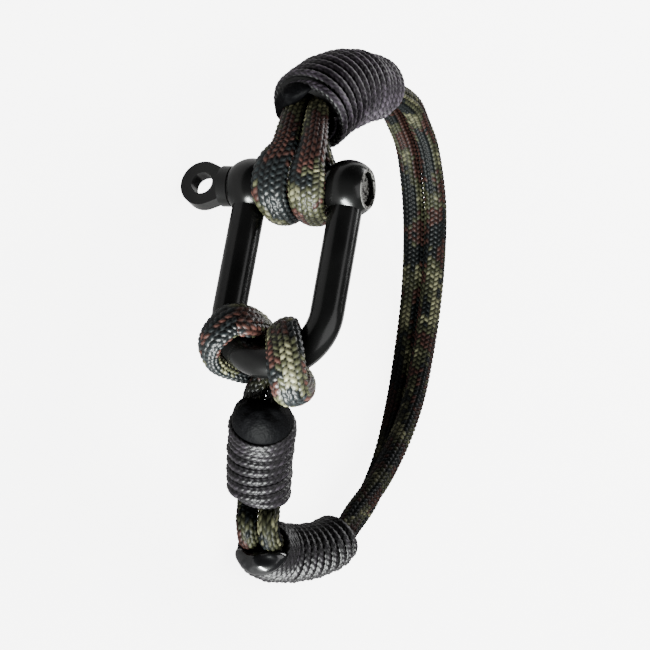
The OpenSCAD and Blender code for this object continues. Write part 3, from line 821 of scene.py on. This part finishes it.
def black_steel(name, grey, roughness, worn_from, worn_r):
    """Satin black finish. One cloudy noise moves the grey between its darker and lighter shade and
    the roughness round its own value. Fine noise bumps the surface, and the worn mask blends in the
    bright bare metal."""
    material, tree, shader = fresh_material(name, roughness, STEEL_SPECULAR)
    shader.inputs["Coat Weight"].default_value = COAT
    shader.inputs["Coat Roughness"].default_value = COAT_ROUGHNESS
    where = tree.nodes.new("ShaderNodeTexCoord").outputs["Object"]
    cloud = noise(tree, where, CLOUDS, CLOUD_DETAIL)
    worn = worn_mask(tree, where, worn_from, worn_r)
    bare = tree.nodes.new("ShaderNodeMix")
    bare.data_type = "RGBA"
    tone = ranged(tree, cloud, CLOUD_LOW, CLOUD_HIGH, grey * DARKER, grey * LIGHTER)
    tree.links.new(worn, bare.inputs["Factor"])
    tree.links.new(tone, bare.inputs["A"])
    bare.inputs["B"].default_value = BARE_STEEL
    tree.links.new(bare.outputs["Result"], shader.inputs["Base Color"])
    tree.links.new(worn, shader.inputs["Metallic"])
    rough = ranged(tree, cloud, 0, 1, roughness - SMOOTHER, roughness + ROUGHER)
    tree.links.new(rough, shader.inputs["Roughness"])
    bumped(tree, shader, noise(tree, where, STEEL_GRAIN), STEEL_BUMP, STEEL_RISE)
    return material


EAR_FACE, PIN_HOLE_R = 10.9, 2.58
WORN_R = PIN_HOLE_R + 0.5
bow_steel = black_steel("black_steel_bow", 0.0018, 0.17, EAR_FACE - 0.3, WORN_R)
pin_steel = black_steel("black_steel_pin", 0.0022, 0.18, EAR_FACE - 1.5, WORN_R)
for name, finish in (("shackle_bow", bow_steel), ("screw_pin", pin_steel)):
    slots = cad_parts[name].material_slots
    for slot in slots:
        slot.material = finish
    print(name, "has", len(slots), "slot with", finish.name)

# %% [markdown]
# ## Floor
# The photograph has a plain white ground. A flat pale square stands in for it, with no edge in
# view. It glows by itself, because lamps that made it white would also make the bracelet too
# bright.

# %% Floor
FLOOR_REACH, FLOOR_GLOW = 3, 6.0
corners = [(-FLOOR_REACH, -FLOOR_REACH, 0), (FLOOR_REACH, -FLOOR_REACH, 0),
           (FLOOR_REACH, FLOOR_REACH, 0), (-FLOOR_REACH, FLOOR_REACH, 0)]
floor_mesh = bpy.data.meshes.new("floor")
floor_mesh.from_pydata(corners, [], [(0, 1, 2, 3)])
floor = bpy.data.objects.new("floor", floor_mesh)
bpy.context.collection.objects.link(floor)
paper, _, paper_shader = fresh_material("pale_paper", 0.9, 0.1)
paper_shader.inputs["Base Color"].default_value = (0.86, 0.86, 0.85, 1)
paper_shader.inputs["Emission Color"].default_value = (1, 1, 0.99, 1)
paper_shader.inputs["Emission Strength"].default_value = FLOOR_GLOW
floor_mesh.materials.append(paper)
print("the floor glows with", FLOOR_GLOW)

# %% [markdown]
# ## Light
# Large soft lamps as in a studio. The strong one stands low beyond the shackle's bow, which is
# below in the picture, so the undersides shine and the faces towards the camera stay dark. It
# leaves the floor out, and the floor's own glow lights nothing else. Otherwise the floor would be
# bright enough to fill the shadows on the bracelet. A picture of a studio could light it as the
# world, but lamps can be moved one by one.

# %% Lamps
SKY = 0.16


def lamp(name, at, wide, high, power, colour=(1, 1, 1)):
    """A soft lamp, wide by high metres, at a place in metres. It looks at the bracelet: its back
    points from there to the lamp, and its side is level, at right angles to its back."""
    light = bpy.data.lights.new(name, "AREA")
    light.shape, light.size, light.size_y = "RECTANGLE", wide, high
    light.energy, light.color = power, colour
    holder = bpy.data.objects.new(name, light)
    bpy.context.collection.objects.link(holder)
    back = unit(np.array([at]) - [0, 0, 0.01])[0]
    side = unit(np.cross([0, 0, 1.0], back)[None])[0]
    stood(holder, side, np.cross(back, side), back, at)
    print(name, "has", power, "watts")
    return holder


low_lamp = lamp("low_lamp", (0.55, -0.07, 0.08), 0.34, 0.14, 46.0, (0.96, 1.0, 0.97))
lamp("top_lamp", (0.1, 0.1, 0.9), 0.8, 0.8, 8.0)
lamp("back_lamp", (-0.45, 0.35, 0.3), 0.5, 0.3, 8.0)
for source, name, state in ((low_lamp, "spared_by_low_lamp", "EXCLUDE"),
                            (floor, "lit_by_floor", "INCLUDE")):
    receivers = bpy.data.collections.new(name)
    receivers.objects.link(floor)
    source.light_linking.receiver_collection = receivers
    receivers.collection_objects[0].light_linking.link_state = state
world = bpy.data.worlds.new("studio")
bpy.context.scene.world = world
world.use_nodes = True
world.node_tree.nodes["Background"].inputs["Color"].default_value = (1, 1, 1, 1)
world.node_tree.nodes["Background"].inputs["Strength"].default_value = SKY
print("the world adds", SKY)
